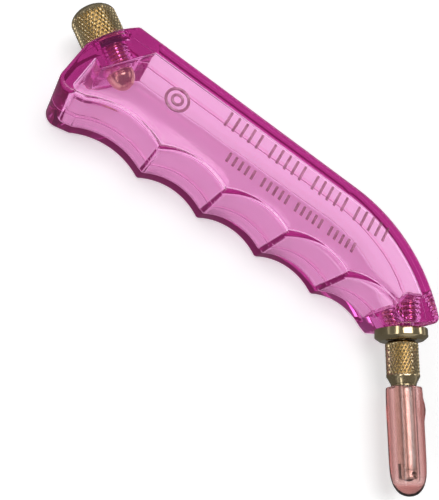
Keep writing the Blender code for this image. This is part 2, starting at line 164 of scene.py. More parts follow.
class Round:
    """A round side: a circle that bulges out of the body, or hollows into it."""

    def __init__(self, centre, radius, hollow=False):
        self.centre = Vector(centre)
        self.radius = radius
        self.hollow = hollow

    def inset(self, distance):
        change = distance if self.hollow else -distance
        return Round(self.centre, self.radius + change, self.hollow)

    def nearest(self, point):
        return self.centre + (point - self.centre).normalized() * self.radius

    def angles(self, start, end):
        first = atan2(start.y - self.centre.y, start.x - self.centre.x)
        last = atan2(end.y - self.centre.y, end.x - self.centre.x)
        return first, (last - first + pi) % tau - pi

    def count(self, start, end, spacing):
        turn = self.angles(start, end)[1]
        return max(1, ceil(abs(turn) * self.radius / spacing))

    def samples(self, start, end, count):
        first, turn = self.angles(start, end)
        angles = [first + turn * step / count for step in range(count)]
        return [self.centre + Vector((cos(angle), sin(angle))) * self.radius for angle in angles]


def meeting(one, other, near):
    """Where two sides meet, at the place nearest to a point."""
    if isinstance(one, Straight) and isinstance(other, Straight):
        across = one.along.cross(other.along)
        return one.point + one.along * ((other.point - one.point).cross(other.along) / across)
    if isinstance(one, Round) and isinstance(other, Straight):
        one, other = other, one
    if isinstance(one, Straight):
        middle = one.nearest(other.centre)
        reach = sqrt(max(0.0, other.radius ** 2 - (middle - other.centre).length_squared))
        aside = one.along * reach
    else:
        gap = other.centre - one.centre
        ahead = (gap.length_squared + one.radius ** 2 - other.radius ** 2) / (2 * gap.length)
        reach = sqrt(max(0.0, one.radius ** 2 - ahead ** 2))
        middle = one.centre + gap.normalized() * ahead
        aside = Vector((-gap.y, gap.x)).normalized() * reach
    return min((middle + aside, middle - aside), key=lambda point: (point - near).length)


class Outline:
    """A closed outline.  corners[i] is the (place, radius) where sides[i] meets sides[i + 1].

    A negative radius fills an inward corner.
    """

    SHARPEST = 0.05

    def __init__(self, sides, corners, spacing=0.55, corner_spacing=0.16):
        self.sides = sides
        self.corners = corners
        self.spacing = spacing
        self.corner_spacing = corner_spacing

    def fillet(self, index, insets):
        """Centre, radius, start and end of one corner's rounding on the inset sides."""
        after = (index + 1) % len(self.sides)
        near, radius = self.corners[index]
        left = radius - max(insets[index], insets[after])
        if radius > 0:
            left = max(left, self.SHARPEST)
        one = self.sides[index]
        other = self.sides[after]
        centre = meeting(one.inset(insets[index] + left), other.inset(insets[after] + left), Vector(near))
        start = one.inset(insets[index]).nearest(centre)
        end = other.inset(insets[after]).nearest(centre)
        return Round(centre, abs(left)), start, end

    def spans(self, insets):
        """Every side and corner rounding in turn, with its start and end."""
        fillets = [self.fillet(index, insets) for index in range(len(self.sides))]
        for index, side in enumerate(self.sides):
            rounding, start, end = fillets[index]
            yield side.inset(insets[index]), fillets[index - 1][2], start, self.spacing
            yield rounding, start, end, self.corner_spacing

    def points(self, inset=0.0):
        """The outline's points, moved inwards: always the same number of them."""
        whole = [0.0] * len(self.sides)
        counts = [side.count(start, end, spacing) for side, start, end, spacing in self.spans(whole)]
        found = []
        for count, (side, start, end, _) in zip(counts, self.spans([inset] * len(self.sides))):
            found += side.samples(start, end, count)
        return found


def heading(start, end):
    return atan2(end.y - start.y, end.x - start.x)


def finger_cusps():
    along = Vector((cos(FINGER_ANGLE), sin(FINGER_ANGLE)))
    cusps = [FIRST_CUSP - along * GROOVE_CHORDS[0]]
    for chord in GROOVE_CHORDS:
        cusps.append(cusps[-1] + along * chord)
    return cusps


def finger_grooves(cusps):
    outward = Vector((sin(FINGER_ANGLE), -cos(FINGER_ANGLE)))
    grooves = []
    for start, end, chord, depth in zip(cusps, cusps[1:], GROOVE_CHORDS, GROOVE_DEPTHS):
        radius = (chord ** 2 / 4 + depth ** 2) / (2 * depth)
        centre = start.lerp(end, 0.5) + outward * (radius - depth)
        grooves.append(Round(centre, radius, hollow=True))
    return grooves


def spine_sides():
    to_centre = Vector((-sin(SPINE_ANGLE), cos(SPINE_ANGLE)))
    curve = Round(SPINE_START + to_centre * SPINE_CURVE_RADIUS, SPINE_CURVE_RADIUS)
    return [curve, Straight(SPINE_START, SPINE_ANGLE)]


def grip_outline():
    """The grip's outer outline, counterclockwise from the curved lower back."""
    cusps = finger_cusps()
    crown = Round(FILLER_SEAT + FILLER_AXIS * (CROWN_RISE - CROWN_RADIUS), CROWN_RADIUS)
    sides = spine_sides() + [crown]
    sides.append(Straight(UPPER_CORNER, heading(UPPER_CORNER, HEEL)))
    sides.append(Straight(HEEL, heading(HEEL, cusps[0])))
    sides += finger_grooves(cusps)
    sides.append(Straight(cusps[-1], heading(cusps[-1], LOWER_FINGER_CORNER)))
    sides.append(Straight(LOWER_FINGER_CORNER, 0.0))
    corners = [(SPINE_START, 0.01), (SPINE_CORNER, 1.3), (UPPER_CORNER, 2.2), (HEEL, 3.6), (cusps[0], 2.0)]
    corners += [(cusp, CUSP_RADIUS) for cusp in cusps[1:-1]]
    corners += [(cusps[-1], 1.0), (LOWER_FINGER_CORNER, 1.2), (LOWER_BACK_CORNER, 1.8)]
    return Outline(sides, corners)


def tank_outline():
    """The oil tank's outline: one wall inside the grip's, and closed by a boss at each end."""
    cusps = finger_cusps()
    seat = FILLER_SEAT - FILLER_AXIS * FILLER_BOSS_DEPTH
    across = Vector((FILLER_AXIS.y, -FILLER_AXIS.x))
    ramp_top = Vector((-3.4, HEAD_BOSS_Y))
    sides = [side.inset(WALL) for side in spine_sides()]
    boss_corner = seat - across * FILLER_BOSS_HALF_WIDTH
    sides.append(Straight(seat, FILLER_ANGLE + pi))
    sides.append(Straight(boss_corner, FILLER_ANGLE + pi / 2))
    sides.append(Straight(UPPER_CORNER, heading(UPPER_CORNER, HEEL)).inset(END_WALL))
    sides.append(Straight(HEEL, heading(HEEL, cusps[0])).inset(WALL))
    sides += [groove.inset(WALL) for groove in finger_grooves(cusps)]
    sides.append(Straight(ramp_top, radians(45)))
    sides.append(Straight(ramp_top, 0.0))
    corners = [(SPINE_START, 0.01), (seat + across * 9, 0.8), (boss_corner, -0.5), (boss_corner, 0.6)]
    corners.append((HEEL, 1.5))
    corners += [(cusp, 0.3) for cusp in cusps[:-1]]
    corners += [(Vector((-7.2, 4.2)), 0.5), (ramp_top, -0.5), (Vector((2.0, HEAD_BOSS_Y)), 0.6)]
    return Outline(sides, corners)


# ---- mesh helpers -------------------------------------------------------------------------------
def add_piece(name, mesh, finish, sharp=32.0):
    piece = bpy.data.objects.new(name, mesh)
    bpy.context.scene.collection.objects.link(piece)
    mesh.materials.clear()
    mesh.materials.append(finish)
    mesh.shade_smooth()
    mesh.set_sharp_from_angle(angle=radians(sharp))
    return piece


def mesh_of(name, body, matrix):
    body.transform(matrix)
    bmesh.ops.recalc_face_normals(body, faces=body.faces)
    mesh = bpy.data.meshes.new(name)
    body.to_mesh(mesh)
    body.free()
    return mesh


def loft(name, rings, matrix=TOOL):
    """A closed body through rings of equal point count."""
    body = bmesh.new()
    loops = [[body.verts.new(point) for point in ring] for ring in rings]
    count = len(loops[0])
    for lower, upper in zip(loops, loops[1:]):
        for index in range(count):
            after = (index + 1) % count
            body.faces.new((lower[index], lower[after], upper[after], upper[index]))
    body.faces.new(list(reversed(loops[0])))
    body.faces.new(loops[-1])
    return mesh_of(name, body, matrix)


def soften(profile, radius, steps=4):
    """The profile with each inner corner rounded by about a radius."""
    rounded = [profile[0]]
    for before, corner, after in zip(profile, profile[1:], profile[2:]):
        before, corner, after = Vector(before), Vector(corner), Vector(after)
        reach = min(radius, (before - corner).length / 2.1, (after - corner).length / 2.1)
        start = corner + (before - corner).normalized() * reach
        end = corner + (after - corner).normalized() * reach
        for step in range(steps + 1):
            share = step / steps
            rounded.append(start.lerp(corner, share).lerp(corner.lerp(end, share), share))
    rounded.append(profile[-1])
    return [tuple(point) for point in rounded]


def densify(profile, top, bottom, spacing):
    """The profile with extra points where it runs between two heights."""
    dense = [profile[0]]
    for start, end in zip(profile, profile[1:]):
        inside = min(start[1], end[1]) < top and max(start[1], end[1]) > bottom
        count = ceil(abs(end[1] - start[1]) / spacing) if inside else 1
        for step in range(1, max(count, 1) + 1):
            dense.append(tuple(Vector(start).lerp(Vector(end), step / max(count, 1))))
    return dense


def on_grid(profile, radius, spacing):
    """The profile with a point at every whole number of spacings along its long straight side."""
    dense = [profile[0]]
    for start, end in zip(profile, profile[1:]):
        if abs(start[0] - radius) < 1e-4 and abs(end[0] - radius) < 1e-4 and abs(end[1] - start[1]) > 2:
            first = floor(start[1] / spacing - 0.2)
            last = ceil(end[1] / spacing + 0.2)
            dense += [(radius, row * spacing) for row in range(first, last - 1, -1)]
        dense.append(end)
    return dense


def off_axis(vertex):
    return vertex.co.xy.length


def knurl_pitch(radius, around):
    """The knurl's pitch along the axis."""
    return tau * radius / around / tan(KNURL_ANGLE)


def revolve(name, profile, matrix=HEAD, steps=FINE_STEPS, relief=None):
    """A turned mesh about local Z.  relief(radius, height, turn) gives a radius, turn from 0 to 1."""
    body = bmesh.new()
    rows = []
    for radius, height in profile:
        if radius < 1e-6:
            rows.append([body.verts.new((0, 0, height))])
            continue
        row = []
        for step in range(steps):
            shown = relief(radius, height, step / steps) if relief else radius
            angle = tau * step / steps
            row.append(body.verts.new((shown * cos(angle), shown * sin(angle), height)))
        rows.append(row)
    if len(rows[0]) > 1:
        rows.append(rows[0])
    for upper, lower in zip(rows, rows[1:]):
        for step in range(steps):
            after = (step + 1) % steps
            corners = [upper[step % len(upper)], lower[step % len(lower)],
                       lower[after % len(lower)], upper[after % len(upper)]]
            distinct = list(dict.fromkeys(corners))
            if relief and len(distinct) == 4:
                one, two, three, four = distinct
                if off_axis(one) + off_axis(three) > off_axis(two) + off_axis(four):
                    one, two, three, four = two, three, four, one
                body.faces.new((one, two, three))
                body.faces.new((one, three, four))
            else:
                body.faces.new(distinct)
    return mesh_of(name, body, matrix)


def cut_with(piece, operation, *cutters):
    for cutter in cutters:
        modifier = piece.modifiers.new(cutter.name, "BOOLEAN")
        modifier.operation = operation
        modifier.solver = "EXACT"
        modifier.object = cutter
    evaluated = piece.evaluated_get(bpy.context.evaluated_depsgraph_get())
    mesh = bpy.data.meshes.new_from_object(evaluated)
    piece.modifiers.clear()
    old = piece.data
    piece.data = mesh
    mesh.name = old.name
    for cutter in cutters:
        bpy.data.objects.remove(cutter, do_unlink=True)


def place(piece, body, slot, *nodes):
    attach(piece, body)
    if nodes:
        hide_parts(*nodes)
    return piece


# ---- thread and knurl shapes --------------------------------------------------------------------
def triangle(value):
    """A wave from 0 up to 1 and back, once in every whole number."""
    return 1 - abs(2 * (value - floor(value)) - 1)


def thread(pitch, depth, top, bottom, runout=0.5):
    """A helical V thread between two heights of a cylinder."""

    def relief(radius, height, turn):
        if not bottom < height < top:
            return radius
        fade = min(1.0, (top - height) / runout, (height - bottom) / runout)
        crest = min(1.0, 1.35 * triangle(height / pitch - turn))
        return radius - depth * fade * (1 - crest)

    return relief


def knurl(radius_full, around, depth, top, bottom):
    """A diamond knurl: two sets of V grooves that cross on a cylinder."""
    axial_pitch = knurl_pitch(radius_full, around)

    def relief(radius, height, turn):
        if not bottom < height < top or radius < radius_full - 0.3:
            return radius
        fade = min(1.0, (top - height) / 0.25, (height - bottom) / 0.25)
        lead = height / axial_pitch
        one_way = 1 - 1.25 * triangle(around * turn + lead)
        other_way = 1 - 1.25 * triangle(around * turn - lead)
        groove = max(one_way, other_way, 0)
        return radius - depth * fade * groove

    return relief


# ---- material helpers ---------------------------------------------------------------------------
class Finish:
    """A Principled material with short calls for its texture nodes."""

    def __init__(self, name, colour, roughness, metallic=0.0):
        self.material = bpy.data.materials.new(name)
        self.material.use_nodes = True
        self.nodes = self.material.node_tree.nodes
        self.links = self.material.node_tree.links
        self.shader = self.nodes["Principled BSDF"]
        self.set("Base Color", (*colour, 1.0))
        self.set("Roughness", roughness)
        self.set("Metallic", metallic)
        self.place = self.nodes.new("ShaderNodeTexCoord").outputs["Object"]

    def set(self, name, value):
        self.shader.inputs[name].default_value = value

    def noise(self, scale, detail=3.0, stretch=(1, 1, 1)):
        mapping = self.nodes.new("ShaderNodeMapping")
        mapping.inputs["Scale"].default_value = stretch
        self.links.new(self.place, mapping.inputs["Vector"])
        texture = self.nodes.new("ShaderNodeTexNoise")
        texture.inputs["Scale"].default_value = scale
        texture.inputs["Detail"].default_value = detail
        self.links.new(mapping.outputs["Vector"], texture.inputs["Vector"])
        return texture.outputs["Fac"]

    def ramp(self, source, low, high, start=0.3, end=0.7):
        ramp = self.nodes.new("ShaderNodeValToRGB")
        ramp.color_ramp.elements[0].position = start
        ramp.color_ramp.elements[1].position = end
        ramp.color_ramp.elements[0].color = (*low, 1)
        ramp.color_ramp.elements[1].color = (*high, 1)
        self.links.new(source, ramp.inputs["Fac"])
        return ramp.outputs["Color"]

    def colour(self, source, low, high, start=0.3, end=0.7):
        self.links.new(self.ramp(source, low, high, start, end), self.shader.inputs["Base Color"])

    def rough(self, source, low, high):
        spread = self.nodes.new("ShaderNodeMapRange")
        spread.inputs["From Min"].default_value = 0.3
        spread.inputs["From Max"].default_value = 0.7
        spread.inputs["To Min"].default_value = low
        spread.inputs["To Max"].default_value = high
        self.links.new(source, spread.inputs["Value"])
        self.links.new(spread.outputs["Result"], self.shader.inputs["Roughness"])

    def bump(self, source, strength, distance=0.0001):
        bump = self.nodes.new("ShaderNodeBump")
        bump.inputs["Strength"].default_value = strength
        bump.inputs["Distance"].default_value = distance
        self.links.new(source, bump.inputs["Height"])
        self.links.new(bump.outputs["Normal"], self.shader.inputs["Normal"])

    def absorb(self, colour, density):
        """Clear, coloured through its depth."""
        self.set("Transmission Weight", 1.0)
        volume = self.nodes.new("ShaderNodeVolumeAbsorption")
        volume.inputs["Color"].default_value = (*colour, 1)
        volume.inputs["Density"].default_value = density
        self.links.new(volume.outputs["Volume"], self.nodes["Material Output"].inputs["Volume"])


# ---- materials ----------------------------------------------------------------------------------
def pink_acrylic(name):
    """Clear moulded acrylic with the faint waves of its mould, and a faint painted pink glow that lights it
    from within.
    """
    finish = Finish(name, (1.0, 0.985, 0.995), 0.02)
    finish.set("IOR", 1.49)
    finish.absorb((0.78, 0.13, 0.63), 154.0)
    # painted glow: a faint pink emission, from no lamp, that brightens the acrylic
    finish.set("Emission Color", (1.0, 0.04, 0.55, 1.0))
    finish.set("Emission Strength", 0.035)
    finish.rough(finish.noise(160, 2), 0.015, 0.05)
    finish.bump(finish.noise(55, 1.5), 0.05, 0.0004)
    return finish.material


def mark_acrylic(name):
    """The raised marks: the same acrylic, tinted brown and less clear: painted shade for the dark outlines
    their refracting sides show.
    """
    # painted shade: the brown tint darkens every mark, standing in for the dark edges that refraction gives
    finish = Finish(name, (0.58, 0.4, 0.44), 0.12)
    finish.set("IOR", 1.49)
    finish.set("Transmission Weight", 0.88)
    finish.colour(finish.noise(500, 3), (0.46, 0.28, 0.32), (0.68, 0.5, 0.54))
    finish.rough(finish.noise(700, 2), 0.06, 0.16)
    return finish.material


def salmon_vinyl(name):
    """Soft dipped vinyl, clear salmon, with a slightly uneven skin."""
    finish = Finish(name, (1.0, 0.93, 0.91), 0.1)
    finish.set("IOR", 1.5)
    finish.absorb((0.70, 0.34, 0.32), 300.0)
    finish.rough(finish.noise(420, 3), 0.06, 0.14)
    finish.bump(finish.noise(260, 3), 0.12, 0.0003)
    return finish.material


def brass(name, bright=1.0, roughness=0.25):
    """Turned brass gone slightly brown, with a fine even bump."""
    low = [bright * value for value in (0.50, 0.39, 0.22)]
    high = [bright * value for value in (0.61, 0.49, 0.30)]
    finish = Finish(name, high, roughness, 1.0)
    finish.colour(finish.noise(260, 2), low, high, 0.25, 0.6)
    finish.rough(finish.noise(700, 2), roughness * 0.8, roughness * 1.15)
    finish.bump(finish.noise(2000, 1), 0.03, 0.00001)
    return finish.material


def steel(name, low, high, roughness):
    finish = Finish(name, high, roughness, 1.0)
    finish.colour(finish.noise(600, 4), low, high, 0.3, 0.6)
    finish.rough(finish.noise(1500, 3), roughness * 0.75, roughness * 1.3)
    finish.bump(finish.noise(1, 1, (300, 4000, 300)), 0.04, 0.00001)
    return finish.material


def black_rubber(name):
    finish = Finish(name, (0.022, 0.022, 0.024), 0.55)
    finish.colour(finish.noise(900, 4), (0.015, 0.015, 0.016), (0.035, 0.034, 0.036))
    finish.rough(finish.noise(1400, 3), 0.42, 0.66)
    finish.bump(finish.noise(2600, 3), 0.2, 0.00003)
    return finish.material


def brown_rubber(name):
    finish = Finish(name, (0.2, 0.07, 0.05), 0.45)
    finish.colour(finish.noise(900, 4), (0.14, 0.05, 0.035), (0.26, 0.1, 0.07))
    finish.rough(finish.noise(1400, 3), 0.35, 0.55)
    return finish.material


def cotton(name):
    finish = Finish(name, (0.8, 0.77, 0.68), 0.95)
    finish.set("Sheen Weight", 0.3)
    finish.colour(finish.noise(1, 4, (3500, 700, 3500)), (0.62, 0.57, 0.46), (0.88, 0.85, 0.77))
    finish.bump(finish.noise(1, 3, (4500, 900, 4500)), 0.5, 0.0001)
    return finish.material


# ---- the grip -----------------------------------------------------------------------------------
def level(points, height):
    return [(point.x, point.y, height) for point in points]


def shell_rings(outline):
    """Rings of the upper half shell, from the weld seam out over its rounded edge."""
    rings = [level(outline.points(SEAM_BEVEL), -SEAM_OVERLAP), level(outline.points(), SEAM_BEVEL)]
    straight = HALF_THICKNESS - EDGE_RADIUS
    rings += [level(outline.points(), straight * share) for share in (0.35, 0.7)]
    steps = 10
    for step in range(steps + 1):
        angle = pi / 2 * step / steps
        inset = EDGE_RADIUS * (1 - cos(angle))
        rings.append(level(outline.points(inset), straight + EDGE_RADIUS * sin(angle)))
    return rings


def tank_rings(outline):
    """Rings of the upper half of the tank, with a seam groove below and a fillet at its roof."""
    depth = HALF_THICKNESS - PLATE
    rings = [level(outline.points(-SEAM_BEVEL), -0.05), level(outline.points(), SEAM_BEVEL)]
    steps = 8
    for step in range(steps + 1):
        angle = pi / 2 * step / steps
        inset = TANK_FILLET * (1 - cos(angle))
        rings.append(level(outline.points(inset), depth - TANK_FILLET * (1 - sin(angle))))
    return rings


def mirrored(rings):
    return [[(x, y, -z) for x, y, z in ring] for ring in reversed(rings)]


def filler_bore():
    """The filler's flat seat, its O-ring's groove and its threaded bore."""
    bore = STEM_RADIUS + 0.14
    profile = [(0, 5), (6.4, 5), (6.4, 0), (5.0, 0), (5.0, -1.4), (bore, -1.4), (bore, -9), (0, -9)]
    dense = densify(profile, -1.4, -9, STEM_PITCH / 8)
    return revolve("filler_bore", dense, FILLER, 64, thread(STEM_PITCH, 0.3, -1.4, -7.4))


def inlet_bore():
    bore = SOCKET_THREAD_RADIUS + 0.14
    profile = [(0, 9), (bore, 9), (bore, 1.5), (4.75, 1.5), (4.75, -1), (0, -1)]
    dense = densify(profile, 9, 1.5, SOCKET_PITCH / 8)
    return revolve("inlet_bore", dense, HEAD, 64, thread(SOCKET_PITCH, 0.4, 9, 1.5))


def guide(mesh):
    cutter = bpy.data.objects.new(mesh.name, mesh)
    bpy.context.scene.collection.objects.link(cutter)
    return cutter


def make_shell(name, node, side, finish):
    outer = shell_rings(grip_outline())
    tank = tank_rings(tank_outline())
    if side < 0:
        outer = mirrored(outer)
        tank = mirrored(tank)
    shell = add_piece(name, loft(name, outer), finish)
    cut_with(shell, "DIFFERENCE", guide(loft("tank", tank)), guide(filler_bore()), guide(inlet_bore()))
    shell.data.shade_smooth()
    shell.data.set_sharp_from_angle(angle=radians(32))
    return place(shell, "grip", "clear_acrylic", node)


# ---- raised marks on the grip's upper side ------------------------------------------------------
MARK_ROWS = (
    # middle of the first bar, height of the bars, their pitch, bars in each group
    (Vector((-55.5, 48.7)), 4.4, 2.45, (5, 5, 5, 5)),
    (Vector((-55.4, 38.3)), 2.8, 1.9, (5, 5, 5, 5)),
)
MARK_GROUP_GAP = 0.7             # in pitches
MARK_RING_CENTRE = Vector((-69.2, 51.6))
MARK_RING_RADIUS = 3.0
MARK_RING_STEPS = 48


def ridge(body, path, closed=False):
    """A raised half-round line along a flat path, sunk a little into the plate."""
    sides = 8
    rings = []
    for index, point in enumerate(path):
        before = path[index - 1] if index or closed else point
        after = path[(index + 1) % len(path)] if index + 1 < len(path) or closed else point
        along = (after - before).normalized()
        across = Vector((-along.y, along.x))
        ring = []
        for side in range(sides + 1):
            turn = pi * side / sides
            spot = point + across * (MARK_STROKE / 2 * cos(turn))
            ring.append((spot.x, spot.y, HALF_THICKNESS + MARK_RISE * sin(turn)))
        for share in (-1, 1):
            spot = point + across * (MARK_STROKE / 2 * share)
            ring.append((spot.x, spot.y, HALF_THICKNESS - MARK_SINK))
        rings.append([body.verts.new(place) for place in ring])
    count = len(rings[0])
    follow = rings[1:] + rings[:1] if closed else rings[1:]
    for ring, after in zip(rings, follow):
        for index in range(count):
            step = (index + 1) % count
            body.faces.new((ring[index], ring[step], after[step], after[index]))
    if not closed:
        body.faces.new(rings[0])
        body.faces.new(list(reversed(rings[-1])))


def make_marks():
    """Two rows of plain bars along the grip, and a double ring above them."""
    body = bmesh.new()
    along = Vector((-cos(SPINE_ANGLE), -sin(SPINE_ANGLE)))
    upright = Vector((-along.y, along.x))
    for start, height, pitch, groups in MARK_ROWS:
        middle = start
        for bars in groups:
            for _ in range(bars):
                ridge(body, [middle - upright * height / 2, middle + upright * height / 2])
                middle = middle + along * pitch
            middle = middle + along * (pitch * MARK_GROUP_GAP)
    turns = [tau * step / MARK_RING_STEPS for step in range(MARK_RING_STEPS)]
    for radius in (MARK_RING_RADIUS, MARK_RING_RADIUS * 0.45):
        ridge(body, [MARK_RING_CENTRE + Vector((cos(turn), sin(turn))) * radius for turn in turns], True)
    mesh = mesh_of("raised_marks", body, TOOL)
    marks = add_piece("raised_marks", mesh, mark_acrylic("mark_acrylic"), 60)
    place(marks, "grip", "clear_acrylic")


# ---- brass pieces -------------------------------------------------------------------------------
def make_filler_cap():
    base = CAP_BASE
    top = base + CAP_HEIGHT
    radius = CAP_RADIUS
    crown = [(0, top), (1.6, top - 0.1), (3.1, top - 0.45), (4.5, top - 1.1), (5.5, top - 2.0)]
    crown.append((radius, top - 3.0))
    head = crown + [(radius, base + 0.35), (radius - 0.35, base), (STEM_RADIUS, base)]
    stem = [(STEM_RADIUS, -7.2), (3.5, -8.4), (3.05, -9.6), (2.2, -10.6), (1.1, -11.15), (0, -11.3)]
    profile = soften(crown, 0.6)[:-1] + soften(head[len(crown) - 1:] + stem, 0.3)
    profile = on_grid(profile, radius, knurl_pitch(radius, CAP_KNURLS) / KNURL_STEPS)
    profile = densify(profile, base, -7.2, STEM_PITCH / 12)
    knurled = knurl(radius, CAP_KNURLS, CAP_KNURL_DEPTH, top - 2.8, base + 0.25)
    threaded = thread(STEM_PITCH, 0.42, base - 0.6, -7.3)

    def relief(at, height, turn):
        return threaded(at, height, turn) if height < base else knurled(at, height, turn)

    mesh = revolve("filler_cap_knurled", profile, FILLER, CAP_KNURLS * KNURL_STEPS, relief)
    cap = add_piece("filler_cap_knurled", mesh, brass("filler_cap_brass", 1.12, 0.22), 40)
    place(cap, "filler_cap", "brass", "filler_cap")


def make_socket():
    radius = SOCKET_THREAD_RADIUS
    profile = [(radius, 7.0), (radius, 0), (FLANGE_RADIUS, 0), (FLANGE_RADIUS, -2.2), (6.0, -3.2),
               (3.6, -3.2), (3.6, -2.2), (2.45, -2.2), (2.45, 4.5), (1.2, 4.5), (1.2, 7.0)]
    profile = soften(profile + profile[:1], 0.16)[:-1]
    profile = densify(profile, 7.0, 1.0, SOCKET_PITCH / 12)
    threaded = thread(SOCKET_PITCH, 0.5, 6.9, 1.0)

    def relief(at, height, turn):
        return threaded(at, height, turn) if at > radius - 0.1 and height > 0.9 else at

    mesh = revolve("head_socket_threaded", profile, HEAD, FINE_STEPS, relief)
    socket = add_piece("head_socket_threaded", mesh, brass("head_socket_brass", 1.0, 0.15))
    place(socket, "grip", "brass", "head_socket")


def make_barrel():
    radius = BARREL_RADIUS
    profile = [(2.15, 1.0), (2.15, -3.5), (4.0, -3.5), (radius, -4.0), (radius, -13.0), (4.25, -13.4),
               (3.45, -15.0), (3.45, -15.4), (2.8, -15.4), (2.8, -5.5), (1.0, -5.5), (1.0, 1.0)]
    profile = soften(profile + profile[:1], 0.14)[:-1]
    profile = on_grid(profile, radius, knurl_pitch(radius, BARREL_KNURLS) / KNURL_STEPS)
    knurled = knurl(radius, BARREL_KNURLS, BARREL_KNURL_DEPTH, -3.95, -12.6)

    def relief(at, height, turn):
        return knurled(at, height, turn) if at > radius - 0.1 else at

    mesh = revolve("head_barrel_knurled", profile, HEAD, BARREL_KNURLS * KNURL_STEPS, relief)
    barrel = add_piece("head_barrel_knurled", mesh, brass("head_barrel_brass", 1.0, 0.22), 40)
    hole = [(0, -2.0), (1.25, -2.0), (1.25, -6.0), (0, -6.0)]
    cut_with(barrel, "DIFFERENCE", guide(revolve("screw_hole", hole, cross_axis(SCREW_Y), 48)))
    place(barrel, "barrel", "brass", "head_barrel")


def make_valve():
    seat = SHANK_TOP + 0.2
    stem = [(0, 3.0), (1.2, 3.0), (1.7, 2.5), (1.7, 2.0), (0.65, 2.0), (0.65, seat), (0, seat)]
    stem = soften(stem, 0.1)
    turned_piece("valve_stem_turned", stem, brass("valve_stem_brass"), "valve", "brass", "valve_stem")
    collar = ring_profile(2.4, 0.8, SHANK_TOP + 1.2, seat)
    turned_piece("valve_collar_turned", collar, brass("valve_collar_brass"), "valve", "brass", "valve_collar")
    washer = ring_profile(1.55, 0.8, 1.8, 1.2)
    rubber = black_rubber("valve_seal_rubber")
    turned_piece("valve_seal_moulded", washer, rubber, "valve", "rubber", "valve_seal")


def ring_profile(outer, inner, top, bottom, edge=0.1):
    profile = [(outer, top), (outer, bottom), (inner, bottom), (inner, top)]
    return soften([((outer + inner) / 2, top)] + profile + [((outer + inner) / 2, top)], edge)[:-1]


def turned_piece(name, profile, finish, body, slot, node, matrix=HEAD):
    return place(add_piece(name, revolve(name, profile, matrix), finish), body, slot, node)


def o_ring(name, major, minor, height, body, node, matrix, finish):
    sides = 20
    angles = [pi / 2 - tau * index / sides for index in range(sides)]
    profile = [(major + minor * cos(angle), height + minor * sin(angle)) for angle in angles]
    turned_piece(name, profile, finish, body, "rubber", node, matrix)


def make_seals():
    rubber = black_rubber("filler_o_ring_rubber")
    o_ring("filler_o_ring", 4.3, 0.5, -0.65, "filler_seal", "filler_cap_seal", FILLER, rubber)
    rubber = black_rubber("socket_o_ring_rubber")
    o_ring("socket_o_ring", 4.15, 0.4, 0.85, "grip", "socket_seal", HEAD, rubber)
    rubber = brown_rubber("barrel_o_ring_rubber")
    o_ring("barrel_o_ring", 2.85, 0.4, -2.72, "barrel_seal", "barrel_seal", HEAD, rubber)


SPRING_TURNS = 3
SPRING_STEPS = 32                # a turn
SPRING_RADIUS = 2.2
SPRING_WIRE_RADIUS = 0.25


def make_spring():
    low = SHANK_TOP + 1.6
    high = -6.95
    steps = SPRING_TURNS * SPRING_STEPS
    curve = bpy.data.curves.new("valve_spring_wire", "CURVE")
    curve.dimensions = "3D"
    curve.bevel_depth = SPRING_WIRE_RADIUS * MM
    curve.bevel_resolution = 4
    curve.use_fill_caps = True
    spline = curve.splines.new("POLY")
    spline.points.add(steps)
    for index, point in enumerate(spline.points):
        angle = tau * index / SPRING_STEPS
        height = low + (high - low) * index / steps
        spot = HEAD @ Vector((SPRING_RADIUS * cos(angle), SPRING_RADIUS * sin(angle), height))
        point.co = (*spot, 1)
    wire = bpy.data.objects.new("valve_spring_wire", curve)
    bpy.context.scene.collection.objects.link(wire)
    curve.materials.append(steel("spring_wire_steel", (0.5, 0.5, 0.5), (0.72, 0.71, 0.69), 0.25))
    place(wire, "valve", "steel", "valve_spring")


# ---- cutting head -------------------------------------------------------------------------------
def make_cutting_head():
    """The turned steel head, with the fork that holds its wheel."""
    profile = [(0.9, SHANK_TOP), (2.2, SHANK_TOP), (2.5, SHANK_TOP - 0.3), (2.5, -37.0), (2.42, -37.1),
               (2.42, -37.25), (2.5, -37.35), (2.5, FORK_END + 0.5), (2.3, FORK_END), (0.9, FORK_END)]
    profile = soften(profile + profile[:1], 0.05, 2)[:-1]
    head = add_piece("cutting_head_turned", revolve("cutting_head_turned", profile),
                     steel("cutting_head_steel", (0.74, 0.64, 0.55), (0.9, 0.83, 0.76), 0.42))
    slope = (2.5 - 1.45) / (FORK_END + 36.9)
    cutters = []
    for side in (1, -1):
        turn = Matrix.Rotation(0 if side > 0 else pi, 4, "Z")
        lean = Matrix.Rotation(-slope, 4, "X")
        cutters.append(block("fork_flat", (-3, 0, -6), (3, 3, 2),
                             HEAD @ turn @ Matrix.Translation((0, 2.5, -36.9)) @ lean))
    cutters.append(block("wheel_slot", (-3, -0.8, FORK_END - 1), (3, 0.8, WHEEL_Y + 2.5), HEAD))
    cutters.append(block("screw_pocket", (-1.2, 1.35, -13.4), (1.2, 3.0, -10.8), HEAD))
    pin_hole = [(0, 4), (0.66, 4), (0.66, -4), (0, -4)]
    cutters.append(guide(revolve("pin_hole", pin_hole, cross_axis(WHEEL_Y), 32)))
    cut_with(head, "DIFFERENCE", *cutters)
    place(head, "cutting_head", "steel", "cutting_head")


def block(name, low, high, matrix):
    body = bmesh.new()
    bmesh.ops.create_cube(body, size=1.0)
    bmesh.ops.scale(body, vec=Vector(high) - Vector(low), verts=body.verts)
    bmesh.ops.translate(body, vec=(Vector(high) + Vector(low)) / 2, verts=body.verts)
    return guide(mesh_of(name, body, matrix))


